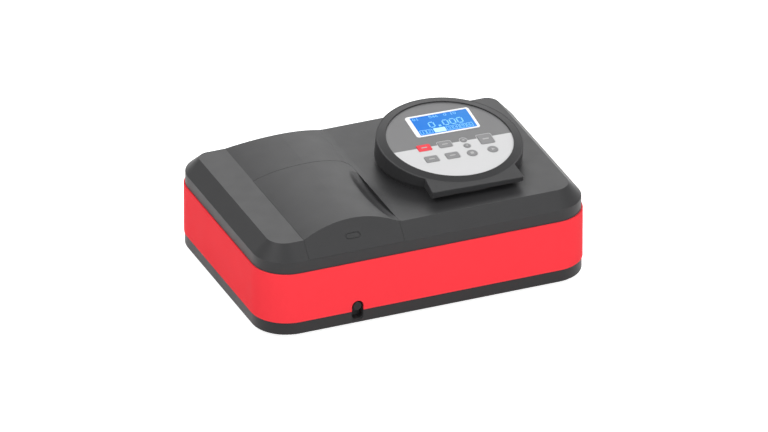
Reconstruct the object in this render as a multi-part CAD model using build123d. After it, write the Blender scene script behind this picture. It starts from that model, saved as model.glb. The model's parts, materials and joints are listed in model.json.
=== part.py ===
# Bench-top visible spectrophotometer: a shallow rounded case in three layers (base tray, coloured band
# and bevelled top cover), a hinged sample lid on the left, and a round tilted control pod on the right.
#
# Everything is laid out in millimetres from the front left corner of the coloured band:
# X runs to the right, Y runs to the back and Z runs up from the underside of the base tray.
# save() then shifts each piece, so that the origin is the middle of the footprint at bench level.

import os
from math import cos, radians, sin, sqrt, tan

from build123d import *

os.makedirs("parts", exist_ok=True)

# Case
WIDTH = 460.0  # coloured band, left to right
DEPTH = 320.0  # coloured band, front to back
CORNER = 48.5  # plan radius of the band's corners
TRAY_HEIGHT = 18.1
BAND_HEIGHT = 70.3
RIM_HEIGHT = 16.5  # upright part of the top cover
BEVEL_HEIGHT = 19.9
TRAY_INSET = 1.2
RIM_INSET = 2.0
DECK_FRONT = 20.7  # from the band's front face to the flat deck
DECK_SIDE = 20.0
DECK_BACK = 29.8
DECK_CORNER = 24.0
DECK_CORNER_BACK = 16.0
WALL = 3.0  # tray and cover mouldings
BAND_WALL = 2.0
BAND_ROUND = 1.0  # rounded outer edges of the band
TRAY_ROUND = 1.5  # rounded bottom edge of the tray
DECK_WALL_SHIFT = 1.3  # how far the inside of the deck lies in from its outside
FIT = 0.3  # gap between pieces that are assembled or move past each other
FOOT_HEIGHT = 8.0
FOOT_RADIUS = 11.0
FOOT_INSET = 46.0
SCREW_X = 24.0
SCREW_Y = 90.0
BAND_BOTTOM = TRAY_HEIGHT
BAND_TOP = BAND_BOTTOM + BAND_HEIGHT
RIM_TOP = BAND_TOP + RIM_HEIGHT
DECK = RIM_TOP + BEVEL_HEIGHT
BEVEL_SLOPE = (DECK_FRONT - RIM_INSET) / BEVEL_HEIGHT  # run over rise of the front bevel
TRAY_FLOOR = WALL

# Hump over the sample compartment, a rise across the deck from the front bevel to the back one
HUMP_LEFT = 62.0
HUMP_CREST = 134.0
HUMP_HEIGHT = 12.3
HUMP_RIGHT_RADIUS = 160.0
HUMP_FOOT = 192.0  # where the right flank turns into its hollow foot
HUMP_FOOT_RUN = 10.0
HUMP_BACK_SLOPE = 0.92

# Lid
LID_RIGHT = 195.0
LID_WALL = 2.5
LID_CORNER = 13.0
LID_SWING = 16.0  # radius of the lid's tail about the hinge axis
HINGE_Y = 177.5
HINGE_RISE = 4.4  # hinge axis above the deck
HINGE_Z = DECK + HINGE_RISE
LID_BACK = HINGE_Y + LID_SWING
TAIL_GAP = 0.5
LID_SEAM = 0.15  # below the lid's front edge
SCOOP_DEPTH = 4.6  # finger scoop at the lid's right edge, below the deck
SCOOP_Y = 98.0
SCOOP_SWEEP = 400.0  # long radius, seen from the side
SCOOP_TUBE = 24.0  # short radius, seen from the front
SCOOP_ROUND = 10.0  # soft edge round the scoop
LATCH_MARK_LENGTH = 21.0
LATCH_MARK_WIDTH = 8.5
LATCH_MARK_GROOVE = 1.3
LATCH_MARK_DEPTH = 0.9
LATCH_MARK_Z = 120.2
SKIRT_WALL = 2.0
SKIRT_BOTTOM = 98.0
COMPARTMENT_X = (HUMP_LEFT + LID_RIGHT) / 2

# Hinge
PIN_RADIUS = 1.5
PIN_FIT = 0.05
EAR_RADIUS = 3.3
EAR_THICK = 4.0
EAR_OFFSET = 17.0  # inner face of each ear from the lid's middle
KNUCKLE_RADIUS = 3.4
KNUCKLE_LENGTH = 6.0
EAR_FOOT = 12.0
EAR_FOOT_THICK = 2.5

# Sample tub and its carriage
TUB_WALL = 2.0
TUB_LEFT = 70.0
TUB_RIGHT = 187.0
TUB_FRONT = 22.0
TUB_BACK = 152.0
TUB_BOTTOM = 10.0
TUB_TOP = 104.0
FLANGE_THICK = 3.0
GASKET_HEIGHT = 3.6
BAFFLE_THICK = 2.0
BEAM_Z = 56.0
BEAM_Y = 87.0
BEAM_RADIUS = 6.0
CELL = 12.6  # square well that takes a standard 12.5 mm cuvette
CELL_PITCH = 16.0
CELL_COUNT = 4
CELL_DEPTH = 42.0
HOLDER_WALL = 1.7
HOLDER_BOTTOM = 34.0
HOLDER_WIDTH = 24.0
HOLDER_WINDOW = 6.0
GUIDE_RADIUS = 3.0
GUIDE_OFFSET = 35.0
GUIDE_Z = 27.0
SLIDE_FIT = 0.06
SADDLE_WIDTH = 88.0
SADDLE_BOTTOM = 21.0
ROD_RADIUS = 3.0
ROD_Z = 24.3
ROD_GRIP = 10.0  # how deep the pull rod sits in the carriage's lug
KNOB_RADIUS = 6.4
KNOB_LENGTH = 11.0
POCKET_RADIUS = 8.2
POCKET_WALL = 1.2
POCKET_DEPTH = 13.0
POCKET_BOTTOM = 4.0
TRAVEL = CELL_PITCH * (CELL_COUNT - 1)

# Control pod, built flat and then tilted about its own middle
POD_X = 318.8
POD_Y = 148.7
POD_Z = 155.0  # middle of the bezel's outer edge
POD_TILT = 8.0
POD_ROLL = 1.3  # its left side is this much higher than its right one
POD_RADIUS = 96.0
POD_BOTTOM = 133.0
POD_WALL = 3.0
POD_FLOOR = 3.0
PEDESTAL_RADIUS = 90.0
NECK_RADIUS = 84.0
NECK_HEIGHT = 1.4
PEDESTAL_WALL = 3.0
BEZEL_THICK = 3.0
BEZEL_RISE = 2.4  # the bezel's face climbs this much from its outer edge to its inner one
BEZEL_INNER = 83.3
BEZEL_EDGE = 1.2  # rounded outer edge
LEDGE_RADIUS = 79.0
TONGUE_LEFT = -66.7  # front corners of the bezel's straight tongue
TONGUE_RIGHT = 61.5
TONGUE_FRONT = 103.6
TONGUE_BACK = 60.0
TONGUE_FLARE = 3.7  # how much its left side runs outward
OVERLAY_TOP = 1.0
OVERLAY_THICK = 1.2
BOARD_THICK = 1.6
BOARD_LEDGE = 1.6
DISPLAY_X = 5.1
DISPLAY_Y = 37.4
DISPLAY_WIDTH = 89.5
DISPLAY_HEIGHT = 46.4
DISPLAY_LIP = 0.3  # display frame above the overlay
BORDER_LEFT = 6.3  # display frame round its glass
BORDER_RIGHT = 3.7
BORDER_ENDS = 2.9
GLASS_X = DISPLAY_X + (BORDER_LEFT - BORDER_RIGHT) / 2
GLASS_WIDTH = DISPLAY_WIDTH - BORDER_LEFT - BORDER_RIGHT
GLASS_HEIGHT = DISPLAY_HEIGHT - 2 * BORDER_ENDS
GLASS_TOP = 0.8
KEY_RISE = 0.6
KEY_TRAVEL = 0.5
KEY_GAP = 0.3
KEY_BOTTOM = -2.4
# Each key: name, middle across and up the pod's face, width, height; a round key's height is 0
KEYS = (
    ("key_zero", -39.5, -8.9, 19.0, 13.6),
    ("key_print", -10.5, -8.9, 18.2, 12.9),
    ("key_up", 16.2, -6.6, 9.0, 0),
    ("key_down", 16.4, -19.7, 9.0, 0),
    ("key_enter", 45.4, -12.3, 19.2, 20.6),
    ("key_mode", -39.3, -34.7, 18.2, 12.9),
    ("key_wavelength", -10.2, -34.7, 18.2, 12.9),
    ("key_stop", 16.5, -36.8, 13.4, 0),
    ("key_start", 45.6, -36.3, 13.4, 0),
)
CABLE_HOLE = 9.0

# Optics, on a plate to the right of the sample tub
BENCH_LEFT = 200.0
BENCH_RIGHT = WIDTH - 12.0
BENCH_FRONT = 24.0
BENCH_BACK = DEPTH - 124.0
BENCH_BOTTOM = 14.0
BENCH_THICK = 6.0
BENCH_TOP = BENCH_BOTTOM + BENCH_THICK
POST_RADIUS = 6.0
MONO_LEFT = 206.0
LAMP_RIGHT = WIDTH - 36.0
LAMP_LEFT = LAMP_RIGHT - 50.0
LAMP_X = LAMP_LEFT + 28.0
WHEEL_X = LAMP_LEFT - 37.0
MONO_RIGHT = WHEEL_X - 7.0
MONO_FRONT = 40.0
MONO_BACK = BENCH_BACK - 16.0
MONO_WALL = 4.0
MONO_TOP = 92.0
MONO_LID = 3.0
SLIT_Y = MONO_BACK - 30.0  # entrance slit, in the housing's right wall
SLIT_GAP = 0.8
SLIT_SIZE = 18.0
SLIT_THICK = 1.0
MIRROR_RADIUS = 17.0
MIRROR_THICK = 8.0
MIRROR_CURVE = 240.0
GRATING_X = MONO_RIGHT - 48.0
GRATING_Y = SLIT_Y - 32.0
GRATING_SIZE = 30.0
GRATING_THICK = 6.0
GRATING_REST = 20.0  # degrees that the grating stands turned at rest
SHAFT_RADIUS = 2.5
MOTOR_SIZE = 28.0
MOTOR_HEIGHT = 20.0
MOTOR_CHAMFER = 3.0
WHEEL_THICK = 3.0
WHEEL_RADIUS = 30.0
WHEEL_ORBIT = 22.0
FILTER_RADIUS = 6.0
FILTER_COUNT = 6
LAMP_HALF = 26.0
LAMP_TOP = 92.0
LAMP_WALL = 2.5
LENS_RADIUS = 12.0
LENS_THICK = 6.0
LENS_CURVE = 20.0
BULB_RADIUS = 5.5
BULB_HEIGHT = 16.0
SOCKET_TOP = 46.0
DETECTOR_LEFT = 36.0
DETECTOR_HALF = 17.0
DETECTOR_BOTTOM = 30.0
DETECTOR_TOP = 80.0

# Electronics and the rear panel
PANEL_LEFT = 64.0
PANEL_RIGHT = WIDTH - 64.0
PANEL_BOTTOM = 24.0
PANEL_TOP = 84.0
PANEL_THICK = 2.0
PANEL_RECESS = 5.0  # outer face of the rear panel behind the band's outer face
PANEL_LAP = 5.0
PANEL_Y = DEPTH - PANEL_RECESS
INLET_X = PANEL_RIGHT - 28.0
INLET_Z = 54.0
INLET_WIDTH = 27.0
INLET_HEIGHT = 19.6
INLET_FLANGE = 4.0
INLET_DEPTH = 22.0
SWITCH_X = INLET_X - 40.0
SWITCH_WIDTH = 13.0
SWITCH_HEIGHT = 19.0
ROCKER_TILT = 9.0
FAN_X = SWITCH_X - 66.0
FAN_Z = 54.0
FAN_SIZE = 50.0
FAN_THICK = 15.0
FAN_BORE = 23.0
FAN_HUB = 9.0
FAN_BLADES = 7
PORT_X = 128.0
PORT_Z = 40.0
PORT_WIDTH = 17.0
PORT_HEIGHT = 9.0
VENT_WIDTH = 3.0
VENT_LENGTH = 34.0
VENT_PITCH = 7.0
VENT_COUNT = 7
VENT_X = FAN_X - 77.0
BOARD_LEFT = 76.0
BOARD_RIGHT = 206.0
BOARD_DEPTH = 101.0
BOARD_BACK = PANEL_Y - 8.0
BOARD_FRONT = BOARD_BACK - BOARD_DEPTH
CHIP_SIZE = 24.0
CHIP_X = 60.0
CHIP_Y = 30.0
SOCKET_X = 20.0
SOCKET_WIDTH = 14.0
BOARD_Z = 22.0
SUPPLY_RIGHT = WIDTH - 70.0
SUPPLY_LEFT = SUPPLY_RIGHT - 90.0
SUPPLY_BACK = PANEL_Y - 39.0
SUPPLY_FRONT = SUPPLY_BACK - 66.0
SUPPLY_TOP = 62.0
STANDOFF_RADIUS = 4.0


def block(x, y, z):
    """A box from three (low, high) pairs."""
    size = (x[1] - x[0], y[1] - y[0], z[1] - z[0])
    return Pos((x[0] + x[1]) / 2, (y[0] + y[1]) / 2, (z[0] + z[1]) / 2) * Box(*size)


def bar_z(x, y, z, radius):
    """An upright cylinder between two heights."""
    return Pos(x, y, (z[0] + z[1]) / 2) * Cylinder(radius, z[1] - z[0])


def bar_y(x, y, z, radius):
    """A cylinder that runs front to back."""
    return Pos(x, (y[0] + y[1]) / 2, z) * Rot(90, 0, 0) * Cylinder(radius, y[1] - y[0])


def bar_x(x, y, z, radius):
    """A cylinder that runs left to right."""
    return Pos((x[0] + x[1]) / 2, y, z) * Rot(0, 90, 0) * Cylinder(radius, x[1] - x[0])


def case_outline(side, front, back, radii, z):
    """The case's outline, set in from the band's faces; radii are those of the front and back corners."""
    width = WIDTH - 2 * side
    depth = DEPTH - front - back
    outline = Rectangle(width, depth)
    corners = outline.vertices().sort_by(Axis.Y)
    outline = fillet(corners[:2], radii[0])
    corners = outline.vertices().sort_by(Axis.Y)
    outline = fillet(corners[-2:], radii[1])
    return Pos(WIDTH / 2, front + depth / 2, z) * outline


def case_layer(inset, z):
    """A slab with the case's outline between two heights."""
    radius = CORNER - inset
    return extrude(case_outline(inset, inset, inset, (radius, radius), z[0]), z[1] - z[0])


def rounded_block(x, y, z, radius):
    """A box whose upright edges are rounded."""
    outline = RectangleRounded(x[1] - x[0], y[1] - y[0], radius)
    return extrude(Pos((x[0] + x[1]) / 2, (y[0] + y[1]) / 2, z[0]) * outline, z[1] - z[0])


def crest_height(x):
    """Height of the hump above the deck, on either flank."""
    if x < HUMP_CREST:
        return HUMP_HEIGHT - (HUMP_CREST - x) ** 2 * HUMP_HEIGHT / (HUMP_CREST - HUMP_LEFT) ** 2
    return HUMP_HEIGHT - (HUMP_RIGHT_RADIUS - sqrt(HUMP_RIGHT_RADIUS**2 - (x - HUMP_CREST) ** 2))


def hump(wall=0.0):
    """The rise across the deck; wall gives its inside, lowered and shortened by a wall."""
    base = DECK - wall

    def point(x):
        return (x, 0, base + crest_height(x))

    left = (HUMP_LEFT, 0, base)
    foot_end = (HUMP_FOOT + HUMP_FOOT_RUN, 0, base)
    foot_sag = (HUMP_FOOT + HUMP_FOOT_RUN / 2, 0, base + crest_height(HUMP_FOOT) * 0.27)
    top = [
        ThreePointArc(left, point((HUMP_LEFT + HUMP_CREST) / 2), point(HUMP_CREST)),
        ThreePointArc(point(HUMP_CREST), point((HUMP_CREST + HUMP_FOOT) / 2), point(HUMP_FOOT)),
        ThreePointArc(point(HUMP_FOOT), foot_sag, foot_end),
    ]
    depth = WALL
    under = Polyline(foot_end, (foot_end[0], 0, base - depth), (left[0], 0, base - depth), left)
    section = make_face([*top, *under.edges()])
    prism = extrude(section, DEPTH, dir=(0, 1, 0))
    low, high = DECK - 2 * WALL, DECK + 2 * HUMP_HEIGHT
    shift = wall * sqrt(1 + BEVEL_SLOPE**2)
    side = [
        (0, RIM_INSET + shift + (low - RIM_TOP) * BEVEL_SLOPE, low),
        (0, DEPTH - DECK_BACK - shift - (low - DECK) * HUMP_BACK_SLOPE, low),
        (0, DEPTH - DECK_BACK - shift - (high - DECK) * HUMP_BACK_SLOPE, high),
        (0, RIM_INSET + shift + (high - RIM_TOP) * BEVEL_SLOPE, high),
    ]
    ends = extrude(make_face(Polyline(*side, close=True)), WIDTH, dir=(1, 0, 0))
    return prism & ends


def cover_form(wall=0.0):
    """Outer form of the whole top, rim, bevel, deck and hump; wall gives its inside."""
    lower_inset = RIM_INSET + wall
    rim_top = RIM_TOP - 0.4 * wall
    shift = DECK_WALL_SHIFT * wall / WALL
    rim = case_layer(lower_inset, (BAND_TOP - wall, rim_top))
    radius = CORNER - lower_inset
    lower = case_outline(lower_inset, lower_inset, lower_inset, (radius, radius), rim_top)
    radii = (DECK_CORNER, DECK_CORNER_BACK)
    upper = case_outline(DECK_SIDE + shift, DECK_FRONT + shift, DECK_BACK + shift, radii, DECK - wall)
    return rim + loft([lower, upper], ruled=True) + hump(wall)


def lid_plan(gap, z):
    """Plan of the lid, or with a gap the hole that it lies in, between two heights."""
    left, right, back = HUMP_LEFT - gap, LID_RIGHT + gap, LID_BACK + gap + TAIL_GAP * (gap > 0)
    plan = block((left, right), (-WALL, back), z)
    corner = [
        edge
        for edge in plan.edges().filter_by(Axis.Z)
        if edge.center().X > COMPARTMENT_X and edge.center().Y > HINGE_Y
    ]
    return fillet(corner, LID_CORNER + gap)


def tail_limit(radius):
    """Everything ahead of the hinge, with a tail that is round about the hinge axis above it."""
    ahead = block((0, WIDTH), (-WALL, HINGE_Y), (0, 2 * DECK))
    below = block((0, WIDTH), (HINGE_Y - 1, HINGE_Y + radius), (0, HINGE_Z))
    return ahead + below + bar_x((0, WIDTH), HINGE_Y, HINGE_Z, radius)


def scoop(extra=0.0):
    """Long shallow hollow for a finger, at the lid's right edge."""
    lift = DECK - SCOOP_DEPTH + SCOOP_SWEEP
    ring = Torus(SCOOP_SWEEP - SCOOP_TUBE, SCOOP_TUBE + extra)
    return Pos(LID_RIGHT + 2, SCOOP_Y, lift) * Rot(0, 90, 0) * ring


def soft_scoop(lid):
    """Cuts the finger scoop, and rounds the edge that it leaves on the lid's top."""
    cut = lid - scoop()
    tube_edges = []
    for face in cut.faces():
        if face.geom_type == GeomType.TORUS:
            tube_edges.extend(face.edges())
    rim = [edge for edge in tube_edges if edge.center().X < LID_RIGHT - 1]
    return fillet(rim, SCOOP_ROUND)


def pocket_outline(radius, bottom):
    """Arch-topped outline of the pull knob's pocket, as a face that looks to the front."""
    lower = Pos(0, (bottom - ROD_Z) / 2) * Rectangle(2 * radius, ROD_Z - bottom)
    foot = fillet(lower.vertices().sort_by(Axis.Y)[:2], radius * 0.7)
    return Plane.XZ.offset(0) * (Circle(radius) + foot)


def pocket_solid(radius, bottom, y):
    """The pocket's outline run between two depths."""
    return Pos(COMPARTMENT_X, y[0], ROD_Z) * extrude(pocket_outline(radius, bottom), -(y[1] - y[0]))


def foot_places():
    """Middles of the four feet."""
    return [
        (x, y)
        for x in (FOOT_INSET, WIDTH - FOOT_INSET)
        for y in (FOOT_INSET, DEPTH - FOOT_INSET)
    ]


def screw_places():
    """Middles of the screws that hold the tray to the cover's pillars."""
    return [(x, y) for x in (SCREW_X, WIDTH - SCREW_X) for y in (SCREW_Y, DEPTH - SCREW_Y)]


def make_tray():
    tray = case_layer(TRAY_INSET, (0, TRAY_HEIGHT))
    tray = fillet(tray.faces().sort_by(Axis.Z)[0].edges(), TRAY_ROUND)
    tray -= case_layer(TRAY_INSET + WALL, (TRAY_FLOOR, TRAY_HEIGHT + 1))
    tray -= pocket_solid(POCKET_RADIUS, POCKET_BOTTOM, (-WALL, POCKET_DEPTH))
    for x, y in foot_places():
        tray += bar_z(x, y, (0, TRAY_FLOOR + 2), FOOT_RADIUS)
        tray -= bar_z(x, y, (-1, 1.5), FOOT_RADIUS - 1.5)
    for x in (TUB_LEFT + 12, TUB_RIGHT - 12):
        for y in (TUB_FRONT + 24, TUB_BACK - 12):
            tray += bar_z(x, y, (TRAY_FLOOR - 1, TUB_BOTTOM), POST_RADIUS)
    for x, y in screw_places():
        tray += bar_z(x, y, (0, TRAY_HEIGHT), POST_RADIUS)
        tray -= bar_z(x, y, (-1, TRAY_HEIGHT + 1), 2.2)
        tray -= bar_z(x, y, (-1, 4), 4.2)
    for index in range(VENT_COUNT):
        x = SUPPLY_LEFT + 20 + index * VENT_PITCH
        tray -= block((x, x + VENT_WIDTH), (SUPPLY_FRONT + 10, SUPPLY_FRONT + 10 + VENT_LENGTH), (-1, WALL + 1))
    return tray


def make_feet():
    feet = []
    for x, y in foot_places():
        foot = Pos(x, y, -FOOT_HEIGHT) * extrude(Circle(FOOT_RADIUS - 3), FOOT_HEIGHT, taper=-10)
        feet.append(foot + bar_z(x, y, (-1, 1.5), FOOT_RADIUS - 1.8))
    return feet


def make_screws():
    screws = []
    for x, y in screw_places():
        head = bar_z(x, y, (1.4, 4), 3.8)
        shank = bar_z(x, y, (3, TRAY_HEIGHT + 16), 2.0)
        screws.append(head + shank - bar_z(x, y, (1, 2.6), 1.4))
    return screws


def make_band():
    band = case_layer(0, (BAND_BOTTOM, BAND_TOP))
    band = fillet(band.faces().sort_by(Axis.Z)[-1].edges(), BAND_ROUND)
    band -= case_layer(BAND_WALL, (BAND_BOTTOM - 1, BAND_TOP + 1))
    band -= pocket_solid(POCKET_RADIUS, POCKET_BOTTOM, (-WALL, POCKET_DEPTH))
    band -= block((PANEL_LEFT, PANEL_RIGHT), (DEPTH - WALL, DEPTH + 1), (PANEL_BOTTOM, PANEL_TOP))
    return band


def make_cover():
    cover = cover_form() - cover_form(WALL)
    skirt = lid_plan(SKIRT_WALL + FIT, (SKIRT_BOTTOM, 2 * DECK)) & cover_form()
    cover += skirt
    hole = lid_plan(FIT, (RIM_TOP, 2 * DECK)) & tail_limit(LID_SWING + TAIL_GAP)
    well = lid_plan(FIT, (BAND_TOP - 2 * WALL, RIM_TOP)) & block(
        (0, WIDTH), (RIM_INSET + WALL, HINGE_Y + LID_SWING + TAIL_GAP), (0, 2 * DECK)
    )
    cover -= hole
    cover -= well
    cover -= bar_z(POD_X, POD_Y, (DECK - 2 * WALL, DECK + WALL), CABLE_HOLE)
    for x, y in screw_places():
        pillar = bar_z(x, y, (TRAY_HEIGHT, DECK), POST_RADIUS) & cover_form()
        cover += bar_z(x, y, (TRAY_HEIGHT, BAND_TOP + WALL), POST_RADIUS) + pillar
        cover -= bar_z(x, y, (TRAY_HEIGHT - 1, TRAY_HEIGHT + 17), 2.1)
    return cover


def make_lid():
    outer = cover_form() & lid_plan(0, (RIM_TOP + LID_SEAM, 2 * DECK)) & tail_limit(LID_SWING)
    outer = soft_scoop(outer)
    inner = cover_form(LID_WALL) - scoop(LID_WALL)
    inner &= block(
        (HUMP_LEFT + LID_WALL, LID_RIGHT - LID_WALL), (0, LID_BACK + WALL), (RIM_TOP - WALL, 2 * DECK)
    )
    lid = outer - inner
    knuckles = []
    for side in (-1, 1):
        low = COMPARTMENT_X + side * (EAR_OFFSET - FIT) - (KNUCKLE_LENGTH if side > 0 else 0)
        span = (low, low + KNUCKLE_LENGTH)
        rib = block(span, (HINGE_Y - 2.4, HINGE_Y + 2.4), (HINGE_Z, DECK + HUMP_HEIGHT + 1)) & outer
        lid += bar_x(span, HINGE_Y, HINGE_Z, KNUCKLE_RADIUS) + rib
        knuckles.append(bar_x(span, HINGE_Y, HINGE_Z, PIN_RADIUS + PIN_FIT))
    for x in (TUB_LEFT + 14, TUB_RIGHT - 22):
        for y in (TUB_FRONT + 20, TUB_BACK - 16):
            lid += bar_z(x, y, (baffle_top(), 2 * DECK), 4.0) & outer
    for bore in knuckles:
        lid -= bore
    return lid - latch_mark(0) + latch_mark(LATCH_MARK_GROOVE)


def latch_mark(margin):
    """Pill in the middle of the lid's front bevel; the margin gives the pill inside its groove."""
    y = RIM_INSET + (LATCH_MARK_Z - RIM_TOP) * BEVEL_SLOPE
    face = Plane(origin=(COMPARTMENT_X, y, LATCH_MARK_Z), x_dir=(1, 0, 0), z_dir=(0, -1, BEVEL_SLOPE))
    pill = SlotOverall(LATCH_MARK_LENGTH - 2 * margin, LATCH_MARK_WIDTH - 2 * margin)
    if margin:
        return extrude(face * pill, -LATCH_MARK_DEPTH)
    return extrude(face * pill, LATCH_MARK_DEPTH, both=True)


def baffle_top():
    return TUB_TOP + GASKET_HEIGHT + FIT + BAFFLE_THICK


def make_baffle():
    z = (baffle_top() - BAFFLE_THICK, baffle_top())
    return rounded_block((TUB_LEFT + 1, TUB_RIGHT - 1), (TUB_FRONT + 1, TUB_BACK - 1), z, 4)


def make_hinge_brackets():
    ears = []
    for side in (-1, 1):
        inner = COMPARTMENT_X + side * EAR_OFFSET
        span = (inner, inner + EAR_THICK) if side > 0 else (inner - EAR_THICK, inner)
        foot_x = (span[0], span[1] + EAR_FOOT - EAR_THICK) if side > 0 else (span[0] - EAR_FOOT + EAR_THICK, span[1])
        ear = block(span, (HINGE_Y - 5, HINGE_Y + 1.6), (SKIRT_BOTTOM, HINGE_Z))
        ear += bar_x(span, HINGE_Y, HINGE_Z, EAR_RADIUS)
        ear += block(foot_x, (HINGE_Y - 9, HINGE_Y + 7), (SKIRT_BOTTOM, SKIRT_BOTTOM + EAR_FOOT_THICK))
        ears.append(ear - bar_x((0, WIDTH), HINGE_Y, HINGE_Z, PIN_RADIUS + PIN_FIT))
    return ears


def make_hinge_pins():
    length = KNUCKLE_LENGTH + EAR_THICK + 1.5
    low = COMPARTMENT_X + EAR_OFFSET - KNUCKLE_LENGTH - 1
    right = bar_x((low, low + length), HINGE_Y, HINGE_Z, PIN_RADIUS)
    high = COMPARTMENT_X - EAR_OFFSET + KNUCKLE_LENGTH + 1
    return [right, bar_x((high - length, high), HINGE_Y, HINGE_Z, PIN_RADIUS)]


def make_tub():
    outer_x, outer_y = (TUB_LEFT, TUB_RIGHT), (TUB_FRONT, TUB_BACK)
    tub = rounded_block(outer_x, outer_y, (TUB_BOTTOM, TUB_TOP), 5)
    flange_z = (SKIRT_BOTTOM - FLANGE_THICK, SKIRT_BOTTOM)
    tub += block((HUMP_LEFT - 4, LID_RIGHT + 4), (RIM_INSET + WALL + 2, LID_BACK + 4), flange_z)
    tub -= rounded_block(
        (TUB_LEFT + TUB_WALL, TUB_RIGHT - TUB_WALL),
        (TUB_FRONT + TUB_WALL, TUB_BACK - TUB_WALL),
        (TUB_BOTTOM + TUB_WALL, TUB_TOP + 1),
        3,
    )
    tub -= bar_x((TUB_LEFT - 1, TUB_RIGHT + 1), BEAM_Y, BEAM_Z, BEAM_RADIUS)
    tub -= bar_y(COMPARTMENT_X, (TUB_FRONT - 1, TUB_FRONT + TUB_WALL + 1), ROD_Z, ROD_RADIUS + SLIDE_FIT)
    for x in guide_places():
        tub -= bar_y(x, (TUB_FRONT - 1, TUB_BACK + 1), GUIDE_Z, GUIDE_RADIUS)
    return tub


def guide_places():
    return (COMPARTMENT_X - GUIDE_OFFSET, COMPARTMENT_X + GUIDE_OFFSET)


def make_guides():
    return [bar_y(x, (TUB_FRONT, TUB_BACK), GUIDE_Z, GUIDE_RADIUS) for x in guide_places()]


def make_gasket():
    z = (TUB_TOP, TUB_TOP + GASKET_HEIGHT)
    ring = rounded_block((TUB_LEFT, TUB_RIGHT), (TUB_FRONT, TUB_BACK), z, 5)
    hole_x = (TUB_LEFT + TUB_WALL, TUB_RIGHT - TUB_WALL)
    return ring - rounded_block(hole_x, (TUB_FRONT + TUB_WALL, TUB_BACK - TUB_WALL), z, 3)


def carriage_span():
    """Front and back of the cell holder at rest, with its first cell in the beam."""
    front = BEAM_Y - CELL_PITCH / 2 - HOLDER_WALL
    return (front, front + CELL_COUNT * CELL_PITCH + 2 * HOLDER_WALL)


def make_carriage():
    span = carriage_span()
    half = SADDLE_WIDTH / 2
    saddle = rounded_block(
        (COMPARTMENT_X - half, COMPARTMENT_X + half), span, (SADDLE_BOTTOM, HOLDER_BOTTOM), 3
    )
    saddle -= block((COMPARTMENT_X - 22, COMPARTMENT_X - 8), (span[0] + 8, span[1] - 8), (0, DECK))
    saddle -= block((COMPARTMENT_X + 8, COMPARTMENT_X + 22), (span[0] + 8, span[1] - 8), (0, DECK))
    lug = block((COMPARTMENT_X - 6, COMPARTMENT_X + 6), (span[0], span[0] + ROD_GRIP + 6), (15, HOLDER_BOTTOM))
    saddle += lug
    saddle -= bar_y(COMPARTMENT_X, (0, span[0] + ROD_GRIP), ROD_Z, ROD_RADIUS)
    for x in guide_places():
        saddle -= bar_y(x, (0, DEPTH), GUIDE_Z, GUIDE_RADIUS + SLIDE_FIT)
    return saddle


def make_cell_holder():
    span = carriage_span()
    half = HOLDER_WIDTH / 2
    top = HOLDER_BOTTOM + HOLDER_WALL * 2 + CELL_DEPTH
    holder = rounded_block((COMPARTMENT_X - half, COMPARTMENT_X + half), span, (HOLDER_BOTTOM, top), 2)
    for index in range(CELL_COUNT):
        y = BEAM_Y + index * CELL_PITCH
        floor = HOLDER_BOTTOM + HOLDER_WALL * 2
        holder -= block(
            (COMPARTMENT_X - CELL / 2, COMPARTMENT_X + CELL / 2), (y - CELL / 2, y + CELL / 2), (floor, top + 1)
        )
        holder -= bar_x((0, WIDTH), y, BEAM_Z, HOLDER_WINDOW / 2)
    return holder


def make_pull_rod():
    front = POCKET_WALL + 2
    return bar_y(COMPARTMENT_X, (front, carriage_span()[0] + ROD_GRIP), ROD_Z, ROD_RADIUS)


def make_pull_knob():
    knob = Cylinder(KNOB_RADIUS, KNOB_LENGTH)
    knob = fillet(knob.edges().sort_by(Axis.Z)[-1], 2.0)
    knob = chamfer(knob.edges().sort_by(Axis.Z)[0], 0.8)
    for index in range(12):
        flute = Rot(0, 0, index * 30) * Pos(KNOB_RADIUS + 0.5, 0, -1.5) * Cylinder(1.0, KNOB_LENGTH - 4)
        knob -= flute
    knob = Pos(COMPARTMENT_X, KNOB_LENGTH / 2 + 0.6, ROD_Z) * Rot(90, 0, 0) * knob
    return knob - bar_y(COMPARTMENT_X, (POCKET_WALL + 2, DEPTH), ROD_Z, ROD_RADIUS)


def make_pocket():
    """Liner of the knob's pocket, which is also the pull rod's outer guide."""
    inner = POCKET_RADIUS - FIT
    cup = pocket_solid(inner, POCKET_BOTTOM + FIT, (RIM_INSET, POCKET_DEPTH + 3))
    tunnel = pocket_solid(inner - 0.3, POCKET_BOTTOM + POCKET_WALL + FIT, (0, POCKET_DEPTH))
    bore = bar_y(COMPARTMENT_X, (0, DEPTH), ROD_Z, ROD_RADIUS + SLIDE_FIT)
    guide = bar_y(COMPARTMENT_X, (POCKET_DEPTH, TUB_FRONT), ROD_Z, ROD_RADIUS + 3)
    return cup - tunnel + guide - bore


def pod_plane(offset=0.0):
    """Plane of the bezel's outer edge; its Y runs up the tilted face."""
    tilt, roll = radians(POD_TILT), radians(POD_ROLL)
    across = Vector(cos(roll), 0, -sin(roll))
    normal = across.cross(Vector(0, cos(tilt), sin(tilt))).normalized()
    return Plane(origin=Vector(POD_X, POD_Y, POD_Z) + normal * offset, x_dir=across, z_dir=normal)


def on_pod(piece):
    """Moves a piece drawn flat, about the pod's middle, onto the tilted face."""
    return pod_plane().location * piece


def pod_outline(margin=0.0):
    """The round face with its straight tongue at the front."""
    left, right, front = TONGUE_LEFT + margin, TONGUE_RIGHT - margin, margin - TONGUE_FRONT
    corners = [(left, front), (right, front), (right, -TONGUE_BACK), (left + TONGUE_FLARE, -TONGUE_BACK)]
    tongue = make_face(Polyline(*corners, close=True))
    tongue = fillet(tongue.vertices().sort_by(Axis.Y)[:2], 1.5)
    return Circle(POD_RADIUS - margin) + tongue


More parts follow.
